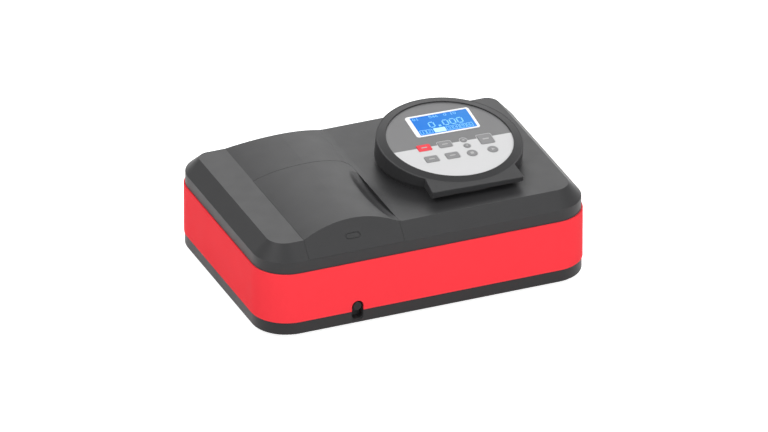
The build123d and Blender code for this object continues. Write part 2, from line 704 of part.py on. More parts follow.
def above(z):
    """The space above one height."""
    return block((0, WIDTH), (-DEPTH, 2 * DEPTH), (z, 4 * DECK))


def make_pod():
    depth = 3 * POD_RADIUS * tan(radians(POD_TILT)) + POD_WALL
    shell = on_pod(Pos(0, 0, -BEZEL_THICK - depth) * extrude(pod_outline(), depth)) & above(POD_BOTTOM)
    hollow = on_pod(Pos(0, 0, -BEZEL_THICK - depth) * extrude(Circle(POD_RADIUS - POD_WALL), 2 * depth))
    hollow &= above(POD_BOTTOM + POD_FLOOR)
    ledge_top = -BEZEL_THICK - BOARD_THICK
    ledge = Pos(0, 0, ledge_top - BOARD_LEDGE) * extrude(
        Circle(POD_RADIUS - 1) - Circle(LEDGE_RADIUS - 2), BOARD_LEDGE
    )
    shell = shell - hollow + (on_pod(ledge) & above(POD_BOTTOM + 1))
    return shell - bar_z(POD_X, POD_Y, (0, POD_Z), CABLE_HOLE)


def make_pedestal():
    ring = bar_z(POD_X, POD_Y, (DECK, POD_BOTTOM - NECK_HEIGHT), PEDESTAL_RADIUS)
    ring += bar_z(POD_X, POD_Y, (DECK, POD_BOTTOM), NECK_RADIUS)
    return ring - bar_z(POD_X, POD_Y, (DECK - 1, POD_BOTTOM + 1), NECK_RADIUS - PEDESTAL_WALL)


def make_bezel():
    ring = Pos(0, 0, -BEZEL_THICK) * extrude(pod_outline(), BEZEL_THICK)
    ring = chamfer(ring.faces().sort_by(Axis.Z)[-1].edges(), BEZEL_EDGE / 2)
    edge = POD_RADIUS - BEZEL_EDGE
    section = Polyline(
        (BEZEL_INNER, 0, -BEZEL_THICK / 2),
        (edge - 1, 0, -BEZEL_THICK / 2),
        (edge - 1, 0, 0),
        (BEZEL_INNER + 1, 0, BEZEL_RISE),
        (BEZEL_INNER, 0, BEZEL_RISE),
        close=True,
    )
    ring += revolve(make_face(section), Axis.Z)
    ring -= Pos(0, 0, 0) * extrude(Circle(LEDGE_RADIUS), 10, both=True)
    ring -= Pos(0, 0, OVERLAY_TOP - OVERLAY_THICK) * extrude(Circle(BEZEL_INNER), 10)
    return on_pod(ring)


def key_outline(key, gap=0.0):
    name, x, y, width, height = key
    if height == 0:
        return Pos(x, y) * Circle(width / 2 + gap)
    return Pos(x, y) * RectangleRounded(width + 2 * gap, height + 2 * gap, 2.2 + gap)


def make_overlay():
    bottom = OVERLAY_TOP - OVERLAY_THICK
    sheet = Pos(0, 0, bottom) * extrude(Circle(BEZEL_INNER - FIT / 2), OVERLAY_THICK)
    window = Pos(DISPLAY_X, DISPLAY_Y, bottom - 1) * RectangleRounded(DISPLAY_WIDTH, DISPLAY_HEIGHT, 4)
    sheet -= extrude(window, 2 * OVERLAY_THICK + 1)
    for key in KEYS:
        sheet -= Pos(0, 0, bottom - 1) * extrude(key_outline(key, KEY_GAP), OVERLAY_THICK + 2)
    return on_pod(sheet)


def make_display_frame():
    bottom = -BEZEL_THICK
    outline = Pos(DISPLAY_X, DISPLAY_Y, bottom) * RectangleRounded(
        DISPLAY_WIDTH - FIT, DISPLAY_HEIGHT - FIT, 4
    )
    frame = extrude(outline, OVERLAY_TOP + DISPLAY_LIP - bottom)
    hole = Pos(GLASS_X, DISPLAY_Y, bottom - 1) * Rectangle(GLASS_WIDTH + FIT, GLASS_HEIGHT + FIT)
    return on_pod(frame - extrude(hole, 10))


def make_display():
    outline = Pos(GLASS_X, DISPLAY_Y, -BEZEL_THICK) * Rectangle(GLASS_WIDTH, GLASS_HEIGHT)
    return on_pod(extrude(outline, BEZEL_THICK + GLASS_TOP))


def make_key_board():
    top = -BEZEL_THICK
    board = Pos(0, 0, top - BOARD_THICK) * extrude(Circle(POD_RADIUS - POD_WALL - FIT), BOARD_THICK)
    chip = Pos(-20, 10, top - BOARD_THICK - 2) * Box(14, 14, 4)
    connector = Pos(30, -50, top - BOARD_THICK - 3) * Box(24, 6, 6)
    return on_pod(board + chip + connector)


def make_key(key):
    cap = Pos(0, 0, KEY_BOTTOM) * extrude(key_outline(key), OVERLAY_TOP + KEY_RISE - KEY_BOTTOM)
    top = cap.faces().sort_by(Axis.Z)[-1]
    return on_pod(chamfer(top.edges(), 0.4))


def make_bench():
    bench = rounded_block((BENCH_LEFT, BENCH_RIGHT), (BENCH_FRONT, BENCH_BACK), (BENCH_BOTTOM, BENCH_TOP), 30)
    for x in (BENCH_LEFT + 30, BENCH_RIGHT - 64):
        for y in (BENCH_FRONT + 30, BENCH_BACK - 30):
            bench += bar_z(x, y, (TRAY_FLOOR, BENCH_BOTTOM), POST_RADIUS)
    for x, y in screw_places():
        bench -= bar_z(x, y, (0, BENCH_TOP + 1), POST_RADIUS + 2)
    return bench


def make_mono_housing():
    x, y = (MONO_LEFT, MONO_RIGHT), (MONO_FRONT, MONO_BACK)
    housing = rounded_block(x, y, (BENCH_TOP, MONO_TOP), 8)
    inner_x = (MONO_LEFT + MONO_WALL, MONO_RIGHT - MONO_WALL)
    inner_y = (MONO_FRONT + MONO_WALL, MONO_BACK - MONO_WALL)
    housing -= rounded_block(inner_x, inner_y, (BENCH_TOP + MONO_WALL, MONO_TOP + 1), 5)
    housing -= bar_x((MONO_LEFT - 1, MONO_LEFT + MONO_WALL + 1), BEAM_Y, BEAM_Z, BEAM_RADIUS)
    housing -= bar_x((MONO_RIGHT - MONO_WALL - 1, MONO_RIGHT + 1), SLIT_Y, BEAM_Z, BEAM_RADIUS)
    for x, y in mirror_places():
        low = x - MIRROR_THICK if x < GRATING_X else x
        seat = (inner_x[0] - 1, low) if x < GRATING_X else (low + MIRROR_THICK, inner_x[1] + 1)
        half = MIRROR_RADIUS - 3
        housing += block(seat, (y - half, y + half), (BENCH_TOP, BEAM_Z + half))
    housing += bar_z(GRATING_X, GRATING_Y, (BENCH_TOP, BENCH_TOP + 10), 7)
    housing -= bar_z(GRATING_X, GRATING_Y, (BENCH_TOP + 3, MONO_TOP), SHAFT_RADIUS + SLIDE_FIT)
    return housing


def mirror_places():
    """Middle of each mirror's front face: the collimating one, then the focusing one."""
    return ((MONO_LEFT + 20, SLIT_Y), (MONO_RIGHT - 22, BEAM_Y - 18))


def make_mirrors():
    mirrors = []
    for x, y in mirror_places():
        left = x < GRATING_X
        span = (x - MIRROR_THICK, x) if left else (x, x + MIRROR_THICK)
        dish_x = x + MIRROR_CURVE - 1.5 if left else x - MIRROR_CURVE + 1.5
        mirrors.append(bar_x(span, y, BEAM_Z, MIRROR_RADIUS) - Pos(dish_x, y, BEAM_Z) * Sphere(MIRROR_CURVE))
    return mirrors


def make_mono_lid():
    z = (MONO_TOP, MONO_TOP + MONO_LID)
    plate = rounded_block((MONO_LEFT, MONO_RIGHT), (MONO_FRONT, MONO_BACK), z, 8)
    return plate - bar_z(GRATING_X, GRATING_Y, (0, DECK), SHAFT_RADIUS + 2)


def make_grating():
    half = GRATING_SIZE / 2
    plate = Pos(-GRATING_THICK / 2 - 1, 0, BEAM_Z) * Box(GRATING_THICK, 2 * half, 2 * half)
    return Pos(GRATING_X, GRATING_Y, 0) * Rot(0, 0, GRATING_REST) * plate


def make_grating_mount():
    half = GRATING_SIZE / 2
    back = Pos(2, 0, BEAM_Z) * Box(6, GRATING_SIZE, GRATING_SIZE + 6)
    shelf = Pos(-1, 0, BEAM_Z - half - 4.5) * Box(16, GRATING_SIZE, 3)
    mount = Pos(GRATING_X, GRATING_Y, 0) * Rot(0, 0, GRATING_REST) * (back + shelf)
    low = BENCH_TOP + 4
    shaft = bar_z(GRATING_X, GRATING_Y, (low, BEAM_Z - half - 3), SHAFT_RADIUS)
    shaft += bar_z(GRATING_X, GRATING_Y, (BEAM_Z + half + 2, MONO_TOP + MONO_LID + MOTOR_HEIGHT), SHAFT_RADIUS)
    return mount + shaft


def stepper(shaft_radius, bore_depth):
    """A square stepper motor that stands on its face at the origin, with a bore for its shaft."""
    body = Pos(0, 0, MOTOR_HEIGHT / 2) * Box(MOTOR_SIZE, MOTOR_SIZE, MOTOR_HEIGHT)
    body = chamfer(body.edges().filter_by(Axis.Z), MOTOR_CHAMFER)
    ends = body.faces().sort_by(Axis.Z)
    body = chamfer([*ends[0].edges(), *ends[-1].edges()], 0.6)
    bore = Pos(0, 0, bore_depth / 2) * Cylinder(shaft_radius + PIN_FIT, bore_depth)
    return body - bore


def make_grating_motor():
    motor = stepper(SHAFT_RADIUS, MOTOR_HEIGHT)
    return Pos(GRATING_X, GRATING_Y, MONO_TOP + MONO_LID) * motor


def make_slits():
    plates = []
    for x, y in ((MONO_LEFT - SLIT_THICK, BEAM_Y), (MONO_RIGHT, SLIT_Y)):
        half = SLIT_SIZE / 2
        plate = block((x, x + SLIT_THICK), (y - half, y + half), (BEAM_Z - half, BEAM_Z + half))
        gap = block((0, WIDTH), (y - SLIT_GAP / 2, y + SLIT_GAP / 2), (BEAM_Z - 5, BEAM_Z + 5))
        plates.append(plate - gap)
    return plates


def make_filter_wheel():
    axis_z = BEAM_Z + WHEEL_ORBIT
    wheel = bar_x((WHEEL_X, WHEEL_X + WHEEL_THICK), SLIT_Y, axis_z, WHEEL_RADIUS)
    wheel += bar_x((WHEEL_X, WHEEL_X + WHEEL_THICK + 16), SLIT_Y, axis_z, SHAFT_RADIUS)
    for index in range(FILTER_COUNT):
        angle = radians(index * 360 / FILTER_COUNT)
        y, z = SLIT_Y + WHEEL_ORBIT * sin(angle), axis_z - WHEEL_ORBIT * cos(angle)
        wheel -= bar_x((0, WIDTH), y, z, FILTER_RADIUS)
    return wheel


def make_filter_motor():
    """Stepper behind the filter wheel, on a bracket that stands on the bench."""
    axis_z = BEAM_Z + WHEEL_ORBIT
    face_x = WHEEL_X + WHEEL_THICK + 1
    motor = Pos(face_x, SLIT_Y, axis_z) * Rot(0, 90, 0) * stepper(SHAFT_RADIUS, MOTOR_HEIGHT - 2)
    half = MOTOR_SIZE / 2
    for side in (-1, 1):
        y = SLIT_Y + side * (half + 1)
        motor += block((face_x + 4, face_x + 16), (y - 1, y + 1), (BENCH_TOP, axis_z + 8))
    return motor


def make_lamp_housing():
    y = (SLIT_Y - LAMP_HALF, SLIT_Y + LAMP_HALF)
    box = block((LAMP_LEFT, LAMP_RIGHT), y, (BENCH_TOP, LAMP_TOP))
    box -= block(
        (LAMP_LEFT + LAMP_WALL, LAMP_RIGHT - LAMP_WALL),
        (y[0] + LAMP_WALL, y[1] - LAMP_WALL),
        (BENCH_TOP + LAMP_WALL, LAMP_TOP + 1),
    )
    box -= bar_x((LAMP_LEFT - 1, LAMP_LEFT + LAMP_WALL + 1), SLIT_Y, BEAM_Z, LENS_RADIUS + 0.1)
    for index in range(VENT_COUNT - 1):
        x = LAMP_LEFT + 6 + index * VENT_PITCH
        box -= block((x, x + VENT_WIDTH), (y[0] - 1, y[1] + 1), (LAMP_TOP - 22, LAMP_TOP - 8))
    return box


def make_lens():
    edge = LAMP_LEFT - 1
    barrel = bar_x((edge, edge + LENS_THICK), SLIT_Y, BEAM_Z, LENS_RADIUS)
    dome_x = edge + LENS_CURVE
    return barrel & Pos(dome_x, SLIT_Y, BEAM_Z) * Sphere(LENS_CURVE)


def make_lamp():
    stem = bar_z(LAMP_X, SLIT_Y, (SOCKET_TOP, SOCKET_TOP + BULB_HEIGHT - BULB_RADIUS), BULB_RADIUS)
    return stem + Pos(LAMP_X, SLIT_Y, SOCKET_TOP + BULB_HEIGHT - BULB_RADIUS) * Sphere(BULB_RADIUS)


def make_lamp_socket():
    base = block(
        (LAMP_X - 14, LAMP_X + 14), (SLIT_Y - 12, SLIT_Y + 12), (BENCH_TOP + LAMP_WALL, BENCH_TOP + LAMP_WALL + 5)
    )
    return base + block((LAMP_X - 8, LAMP_X + 8), (SLIT_Y - 7, SLIT_Y + 7), (BENCH_TOP + LAMP_WALL, SOCKET_TOP))


def make_detector():
    y = (BEAM_Y - DETECTOR_HALF, BEAM_Y + DETECTOR_HALF)
    body = block((DETECTOR_LEFT, TUB_LEFT), y, (DETECTOR_BOTTOM, DETECTOR_TOP))
    body = chamfer(body.edges().filter_by(Axis.X), 3)
    leg = block((DETECTOR_LEFT + 6, TUB_LEFT - 10), (y[0] + 6, y[1] - 6), (TRAY_FLOOR, DETECTOR_BOTTOM + 1))
    foot = block((DETECTOR_LEFT, TUB_LEFT - 4), (y[0], y[1]), (TRAY_FLOOR, TRAY_FLOOR + 3))
    return body + leg + foot - bar_x((0, TUB_LEFT + 1), BEAM_Y, BEAM_Z, BEAM_RADIUS)


def make_detector_board():
    x = (DETECTOR_LEFT - BOARD_THICK, DETECTOR_LEFT)
    board = block(x, (BEAM_Y - 26, BEAM_Y + 26), (BEAM_Z - 30, BEAM_Z + 30))
    can = bar_x((DETECTOR_LEFT, DETECTOR_LEFT + 5), BEAM_Y, BEAM_Z, BEAM_RADIUS - 0.2)
    chip = block((x[0] - 3, x[0]), (BEAM_Y - 20, BEAM_Y - 8), (BEAM_Z + 12, BEAM_Z + 22))
    return board + can + chip


def make_main_board():
    z = (BOARD_Z, BOARD_Z + BOARD_THICK)
    board = block((BOARD_LEFT, BOARD_RIGHT), (BOARD_FRONT, BOARD_BACK), z)
    for x in (BOARD_LEFT + 8, BOARD_RIGHT - 8):
        for y in (BOARD_FRONT + 8, BOARD_BACK - 8):
            board += bar_z(x, y, (TRAY_FLOOR, BOARD_Z), STANDOFF_RADIUS)
    chip_x, chip_y = BOARD_LEFT + CHIP_X, BOARD_FRONT + CHIP_Y
    board += block((chip_x, chip_x + CHIP_SIZE), (chip_y, chip_y + CHIP_SIZE), (z[1], z[1] + 3))
    socket_x = BOARD_LEFT + SOCKET_X
    board += block((socket_x, socket_x + SOCKET_WIDTH), (chip_y, chip_y + CHIP_SIZE), (z[1], z[1] + 4))
    board += bar_z(BOARD_RIGHT - CHIP_SIZE, chip_y + CHIP_SIZE, (z[1], z[1] + 18), 7)
    return board


def make_power_supply():
    x, y = (SUPPLY_LEFT, SUPPLY_RIGHT), (SUPPLY_FRONT, SUPPLY_BACK)
    case = block(x, y, (TRAY_FLOOR, SUPPLY_TOP))
    case -= block((x[0] + 1.5, x[1] - 1.5), (y[0] + 1.5, y[1] - 1.5), (TRAY_FLOOR + 1.5, SUPPLY_TOP - 1.5))
    for index in range(VENT_COUNT):
        low = x[0] + 20 + index * VENT_PITCH
        case -= block((low, low + VENT_WIDTH), (y[0] + 14, y[1] - 14), (SUPPLY_TOP - 3, SUPPLY_TOP + 1))
    return case


def port_outline(margin=0.0):
    """D-shaped outline of the serial connector's shell."""
    half, rise = PORT_WIDTH / 2 + margin, PORT_HEIGHT / 2 + margin
    corners = Polygon((half, rise), (-half, rise), (-half + 1.5, -rise), (half - 1.5, -rise), align=None)
    return fillet(corners.vertices(), 1.6)


def panel_extrude(outline, x, z, y):
    """Runs an outline that faces the back between two depths."""
    face = Plane(origin=(x, y[0], z), x_dir=(-1, 0, 0), z_dir=(0, 1, 0))
    return extrude(face * outline, y[1] - y[0])


def make_rear_panel():
    y = (PANEL_Y - PANEL_THICK, PANEL_Y)
    panel = block((PANEL_LEFT - PANEL_LAP, PANEL_RIGHT + PANEL_LAP), y, (TRAY_HEIGHT + 1, PANEL_TOP + PANEL_LAP - 1))
    rim_x, rim_z = (PANEL_LEFT + FIT, PANEL_RIGHT - FIT), (PANEL_BOTTOM + FIT, PANEL_TOP - FIT)
    rim = block(rim_x, (PANEL_Y - 1, DEPTH - 0.6), rim_z)
    rim -= block((rim_x[0] + 1.5, rim_x[1] - 1.5), (0, DEPTH + 1), (rim_z[0] + 1.5, rim_z[1] - 1.5))
    panel += rim
    panel += block((PANEL_LEFT + 10, PANEL_RIGHT - 10), (PANEL_Y - 1, DEPTH - BAND_WALL), (PANEL_TOP, PANEL_TOP + 3))
    through = (y[0] - 1, y[1] + 1)
    panel -= panel_extrude(RectangleRounded(INLET_WIDTH + FIT, INLET_HEIGHT + FIT, 2), INLET_X, INLET_Z, through)
    panel -= panel_extrude(Rectangle(SWITCH_WIDTH + FIT, SWITCH_HEIGHT + FIT), SWITCH_X, INLET_Z, through)
    panel -= panel_extrude(port_outline(FIT / 2), PORT_X, PORT_Z, through)
    for ring in range(3):
        outer = FAN_BORE - ring * 6.5
        slot = Circle(outer) - Circle(outer - 4)
        slot -= Rectangle(2 * outer + 1, 2.5) + Rectangle(2.5, 2 * outer + 1)
        for face in slot.faces():
            panel -= panel_extrude(face, FAN_X, FAN_Z, through)
    for index in range(VENT_COUNT):
        x = VENT_X + (index - VENT_COUNT // 2) * VENT_PITCH
        panel -= panel_extrude(SlotOverall(VENT_LENGTH, VENT_WIDTH, rotation=90), x, FAN_Z, through)
    return panel


def make_inlet():
    front = PANEL_Y + 2.5
    body = panel_extrude(
        RectangleRounded(INLET_WIDTH, INLET_HEIGHT, 2), INLET_X, INLET_Z, (PANEL_Y - INLET_DEPTH, front)
    )
    flange = RectangleRounded(INLET_WIDTH + 2 * INLET_FLANGE, INLET_HEIGHT + 2 * INLET_FLANGE, 3)
    body += panel_extrude(flange, INLET_X, INLET_Z, (PANEL_Y, front))
    socket = chamfer(Rectangle(INLET_WIDTH - 3, INLET_HEIGHT - 3).vertices().sort_by(Axis.Y)[:2], 4)
    body -= panel_extrude(socket, INLET_X, INLET_Z, (PANEL_Y - INLET_DEPTH + 4, front + 1))
    for offset, drop in ((-7.0, -1.0), (0.0, 3.5), (7.0, -1.0)):
        pin = Rectangle(2.0, 5.0)
        body += panel_extrude(
            Pos(offset, drop) * pin, INLET_X, INLET_Z, (PANEL_Y - INLET_DEPTH + 3, front - 6)
        )
    return body


def make_switch_body():
    front = PANEL_Y + 1.5
    body = panel_extrude(
        Rectangle(SWITCH_WIDTH, SWITCH_HEIGHT), SWITCH_X, INLET_Z, (PANEL_Y - 14, front)
    )
    flange = RectangleRounded(SWITCH_WIDTH + 3, SWITCH_HEIGHT + 3, 1)
    body += panel_extrude(flange, SWITCH_X, INLET_Z, (PANEL_Y, front))
    well = Rectangle(SWITCH_WIDTH - 2, SWITCH_HEIGHT - 2)
    body -= panel_extrude(well, SWITCH_X, INLET_Z, (PANEL_Y - 9, front + 1))
    return body - bar_x((0, WIDTH), PANEL_Y - 3, INLET_Z, PIN_RADIUS + PIN_FIT)


def make_rocker():
    half_width = SWITCH_WIDTH / 2 - 1 - FIT
    reach = SWITCH_HEIGHT / 2 - 1.8
    tilt = radians(ROCKER_TILT)
    y, z = PANEL_Y - 3, INLET_Z
    tip = reach * sin(tilt)
    points = [
        (0, y + 5.2 - tip, z + reach * cos(tilt)),
        (0, y + 3.0, z),
        (0, y + 5.2 - tip, z - reach * cos(tilt)),
        (0, y - 1.0, z - reach * 0.7),
        (0, y - 1.0, z + reach * 0.7),
    ]
    body = extrude(make_face(Polyline(*points, close=True)), half_width, both=True, dir=(1, 0, 0))
    body = Pos(SWITCH_X, 0, 0) * body
    body += bar_x((SWITCH_X - SWITCH_WIDTH / 2, SWITCH_X + SWITCH_WIDTH / 2), y, z, PIN_RADIUS)
    turned = Pos(0, y, z) * Rot(ROCKER_TILT, 0, 0) * Pos(0, -y, -z) * body
    return turned


def make_fan_frame():
    half = FAN_SIZE / 2
    back = PANEL_Y - PANEL_THICK
    frame = block((FAN_X - half, FAN_X + half), (back - FAN_THICK, back), (FAN_Z - half, FAN_Z + half))
    frame = chamfer(frame.edges().filter_by(Axis.Y), 3)
    frame -= bar_y(FAN_X, (back - FAN_THICK + 3, back + 1), FAN_Z, FAN_BORE)
    frame -= bar_y(FAN_X, (0, back), FAN_Z, FAN_BORE - 0.5)
    spider = bar_y(FAN_X, (back - FAN_THICK, back - FAN_THICK + 2), FAN_Z, FAN_HUB + 1)
    for turn in range(4):
        arm = Pos(FAN_X, back - FAN_THICK + 1, FAN_Z) * Rot(0, turn * 90 + 45, 0) * Pos(FAN_BORE / 2, 0, 0) * Box(
            FAN_BORE + 2, 2, 3
        )
        spider += arm
    return frame + spider - bar_y(FAN_X, (0, back), FAN_Z, PIN_RADIUS + PIN_FIT)


def make_fan_rotor():
    back = PANEL_Y - PANEL_THICK
    y = (back - FAN_THICK + 2.4, back - 1.5)
    rotor = bar_y(FAN_X, y, FAN_Z, FAN_HUB) + bar_y(FAN_X, (back - FAN_THICK, y[1]), FAN_Z, PIN_RADIUS)
    for index in range(FAN_BLADES):
        blade = Pos((FAN_BORE + FAN_HUB) / 2 - 1, 0, 0) * Rot(35, 0, 0) * Box(FAN_BORE - FAN_HUB, 12, 1.2)
        turn = Rot(0, index * 360 / FAN_BLADES, 0)
        rotor += Pos(FAN_X, (y[0] + y[1]) / 2, FAN_Z) * turn * blade
    return rotor & bar_y(FAN_X, (back - FAN_THICK, y[1]), FAN_Z, FAN_BORE - 1.2)


def make_serial_port():
    front = PANEL_Y + 2.5
    board_top = BOARD_Z + BOARD_THICK
    shell = panel_extrude(port_outline(), PORT_X, PORT_Z, (PANEL_Y - PANEL_THICK - 12, front))
    shell -= panel_extrude(port_outline(-1), PORT_X, PORT_Z, (PANEL_Y - 6, front + 1))
    flange_y = (PANEL_Y - PANEL_THICK - 2, PANEL_Y - PANEL_THICK)
    shell += panel_extrude(RectangleRounded(31, 12.5, 1.5), PORT_X, PORT_Z, flange_y)
    shell += block(
        (PORT_X - 8, PORT_X + 8), (PANEL_Y - PANEL_THICK - 14, PANEL_Y - PANEL_THICK - 6.4), (board_top, PORT_Z)
    )
    for row, count, rise in ((0, 5, 1.4), (1, 4, -1.4)):
        for index in range(count):
            offset = (index - (count - 1) / 2) * 2.74
            pin = Pos(offset, rise) * Circle(0.5)
            shell += panel_extrude(pin, PORT_X, PORT_Z, (PANEL_Y - 7, PANEL_Y - 3))
    return shell


def solids_of(piece):
    """One flat list of solids from a shape or a list of shapes."""
    if isinstance(piece, (list, tuple)):
        return [solid for item in piece for solid in item.solids()]
    return list(piece.solids())


def save(name, piece):
    """Shifts a piece to the origin under the middle of the case, and writes its file."""
    shift = Pos(-WIDTH / 2, -DEPTH / 2, FOOT_HEIGHT)
    solids = [shift * solid for solid in solids_of(piece)]
    shape = solids[0] if len(solids) == 1 else Compound(children=solids)
    shape.label = name
    export_step(shape, f"parts/{name}.step")


save("base_tray", make_tray())
save("rubber_feet", make_feet())
save("case_screws", make_screws())
save("middle_band", make_band())
save("top_cover", make_cover())
save("sample_lid", make_lid())
save("lid_baffle", make_baffle())
save("hinge_brackets", make_hinge_brackets())
save("hinge_pins", make_hinge_pins())
save("sample_tub", make_tub())
save("tub_gasket", make_gasket())
save("guide_rods", make_guides())
save("cell_carriage", make_carriage())
save("cell_holder", make_cell_holder())
save("pull_rod", make_pull_rod())
save("pull_knob", make_pull_knob())
save("knob_pocket", make_pocket())
save("pod_pedestal", make_pedestal())
save("pod_housing", make_pod())
save("pod_bezel", make_bezel())
save("panel_overlay", make_overlay())
save("display_frame", make_display_frame())
save("display_module", make_display())
save("key_board", make_key_board())
for key in KEYS:
    save(key[0], make_key(key))
save("optical_bench", make_bench())
save("monochromator_housing", make_mono_housing())
save("monochromator_lid", make_mono_lid())
save("monochromator_mirrors", make_mirrors())
save("diffraction_grating", make_grating())
save("grating_mount", make_grating_mount())
save("grating_motor", make_grating_motor())
save("slit_plates", make_slits())
save("filter_wheel", make_filter_wheel())
save("filter_motor", make_filter_motor())
save("lamp_housing", make_lamp_housing())
save("condenser_lens", make_lens())
save("halogen_lamp", make_lamp())
save("lamp_socket", make_lamp_socket())
save("detector_block", make_detector())
save("detector_board", make_detector_board())
save("main_board", make_main_board())
save("power_supply", make_power_supply())
save("rear_panel", make_rear_panel())
save("mains_inlet", make_inlet())
save("switch_body", make_switch_body())
save("power_rocker", make_rocker())
save("fan_frame", make_fan_frame())
save("fan_rotor", make_fan_rotor())
save("serial_port", make_serial_port())
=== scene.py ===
"""Looks of a bench-top visible spectrophotometer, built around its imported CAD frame."""

import json
import math

import bmesh
import bpy
from mathutils import Matrix, Vector


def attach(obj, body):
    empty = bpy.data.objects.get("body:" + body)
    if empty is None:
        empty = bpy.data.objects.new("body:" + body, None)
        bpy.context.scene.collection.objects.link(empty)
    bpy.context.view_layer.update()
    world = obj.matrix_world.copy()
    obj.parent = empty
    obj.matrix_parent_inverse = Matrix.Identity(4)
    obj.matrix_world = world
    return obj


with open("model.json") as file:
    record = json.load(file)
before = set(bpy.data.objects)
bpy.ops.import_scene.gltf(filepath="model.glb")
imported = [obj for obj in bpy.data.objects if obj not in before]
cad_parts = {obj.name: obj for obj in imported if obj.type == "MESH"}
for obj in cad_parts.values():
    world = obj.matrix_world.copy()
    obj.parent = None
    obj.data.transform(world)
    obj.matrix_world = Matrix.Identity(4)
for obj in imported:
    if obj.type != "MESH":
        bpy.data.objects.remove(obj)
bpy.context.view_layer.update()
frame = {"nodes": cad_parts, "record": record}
NODES = frame["nodes"]
MM = 0.001

# Camera: the photograph's own view, fitted to the edges of the case
IMAGE_WIDTH = 768
SENSOR = 36.0
FOCAL_PIXELS = 19214.5455
VIEW_AZIMUTH = math.radians(22.4969974)
VIEW_ELEVATION = math.radians(28.5287662)
PIXELS_PER_MM = 0.77105242
AIM = Vector((0.0, -0.1425, 68.0))  # millimetres, in the part's own frame
SLIDE_RIGHT = -1.20708763
SLIDE_UP = 3.89898414
CLIP_START = 1.0  # metres
CLIP_END = 60.0

# Control pod: middle of the bezel's outer edge, and the tilt of its face
POD_CENTRE = Vector((88.8, -11.3, 163.0))
POD_TILT = math.radians(8.0)
POD_ROLL = math.radians(1.3)
POD_ACROSS = Vector((math.cos(POD_ROLL), 0.0, -math.sin(POD_ROLL)))
POD_NORMAL = POD_ACROSS.cross(Vector((0.0, math.cos(POD_TILT), math.sin(POD_TILT)))).normalized()
POD_UP = POD_NORMAL.cross(POD_ACROSS)
FACE = 1.0  # top of the printed overlay above the pod's reference plane
PRINT = 0.06  # thickness of printed detail
GLASS_TOP = 0.8
KEY_TOP = 1.6
PRINT_EDGE = -8.3  # up the pod's face: where the dark print ends and the pale print starts
# Each key: node, place on the pod's face, width and height; a height of 0 is a round key
KEYS = (
    ("key_zero", -39.5, -8.9, 19.0, 13.6),
    ("key_print", -10.5, -8.9, 18.2, 12.9),
    ("key_up", 16.2, -6.6, 9.0, 0),
    ("key_down", 16.4, -19.7, 9.0, 0),
    ("key_enter", 45.4, -12.3, 19.2, 20.6),
    ("key_mode", -39.3, -34.7, 18.2, 12.9),
    ("key_wavelength", -10.2, -34.7, 18.2, 12.9),
    ("key_stop", 16.5, -36.8, 13.4, 0),
    ("key_start", 45.6, -36.3, 13.4, 0),
)
KEY_CORNER = 2.2
KEY_GAP = 0.3
OUTLINE_WIDTH = 1.1


def srgb(red, green, blue):
    """Linear colour of an sRGB one that is given from 0 to 255."""

    def linear(value):
        value = value / 255
        return value / 12.92 if value <= 0.04045 else ((value + 0.055) / 1.055) ** 2.4

    return (linear(red), linear(green), linear(blue), 1.0)


# Materials


class Shader:
    """Small helper that builds a node material."""

    def __init__(self, name):
        self.material = bpy.data.materials.new(name)
        self.material.use_nodes = True
        self.tree = self.material.node_tree
        self.bsdf = self.tree.nodes["Principled BSDF"]
        self.coordinates = self.node("ShaderNodeTexCoord").outputs["Object"]

    def node(self, kind, **settings):
        node = self.tree.nodes.new(kind)
        for key, value in settings.items():
            setattr(node, key, value)
        return node

    def link(self, source, target):
        self.tree.links.new(source, target)

    def noise(self, scale, detail=3.0, roughness=0.5, stretch=None):
        texture = self.node("ShaderNodeTexNoise")
        texture.inputs["Scale"].default_value = scale
        texture.inputs["Detail"].default_value = detail
        texture.inputs["Roughness"].default_value = roughness
        source = self.coordinates
        if stretch:
            mapping = self.node("ShaderNodeMapping")
            mapping.inputs["Scale"].default_value = stretch
            self.link(source, mapping.inputs["Vector"])
            source = mapping.outputs["Vector"]
        self.link(source, texture.inputs["Vector"])
        return texture.outputs["Fac"]

    def remap(self, source, low, high, from_low=0.3, from_high=0.7):
        node = self.node("ShaderNodeMapRange")
        node.inputs["From Min"].default_value = from_low
        node.inputs["From Max"].default_value = from_high
        node.inputs["To Min"].default_value = low
        node.inputs["To Max"].default_value = high
        self.link(source, node.inputs["Value"])
        return node.outputs["Result"]

    def mix(self, factor, first, second):
        node = self.node("ShaderNodeMix", data_type="RGBA")
        self.link(factor, node.inputs["Factor"])
        for value, socket in ((first, node.inputs["A"]), (second, node.inputs["B"])):
            if isinstance(value, tuple):
                socket.default_value = value
            else:
                self.link(value, socket)
        return node.outputs["Result"]

    def colour(self, value, vary=0.06, scale=14.0):
        """Base colour with a faint cloudy variation."""
        dark = tuple(channel * (1 - vary) for channel in value[:3]) + (1.0,)
        light = tuple(min(1.0, channel * (1 + vary)) for channel in value[:3]) + (1.0,)
        self.link(self.mix(self.remap(self.noise(scale), 0, 1), dark, light), self.bsdf.inputs["Base Color"])

    def roughness(self, low, high, scale=40.0):
        self.link(self.remap(self.noise(scale), low, high), self.bsdf.inputs["Roughness"])

    def bump(self, height, distance, strength):
        node = self.node("ShaderNodeBump")
        node.inputs["Distance"].default_value = distance
        node.inputs["Strength"].default_value = strength
        self.link(height, node.inputs["Height"])
        self.link(node.outputs["Normal"], self.bsdf.inputs["Normal"])

    def put(self, **values):
        for key, value in values.items():
            self.bsdf.inputs[key.replace("_", " ")].default_value = value
        return self


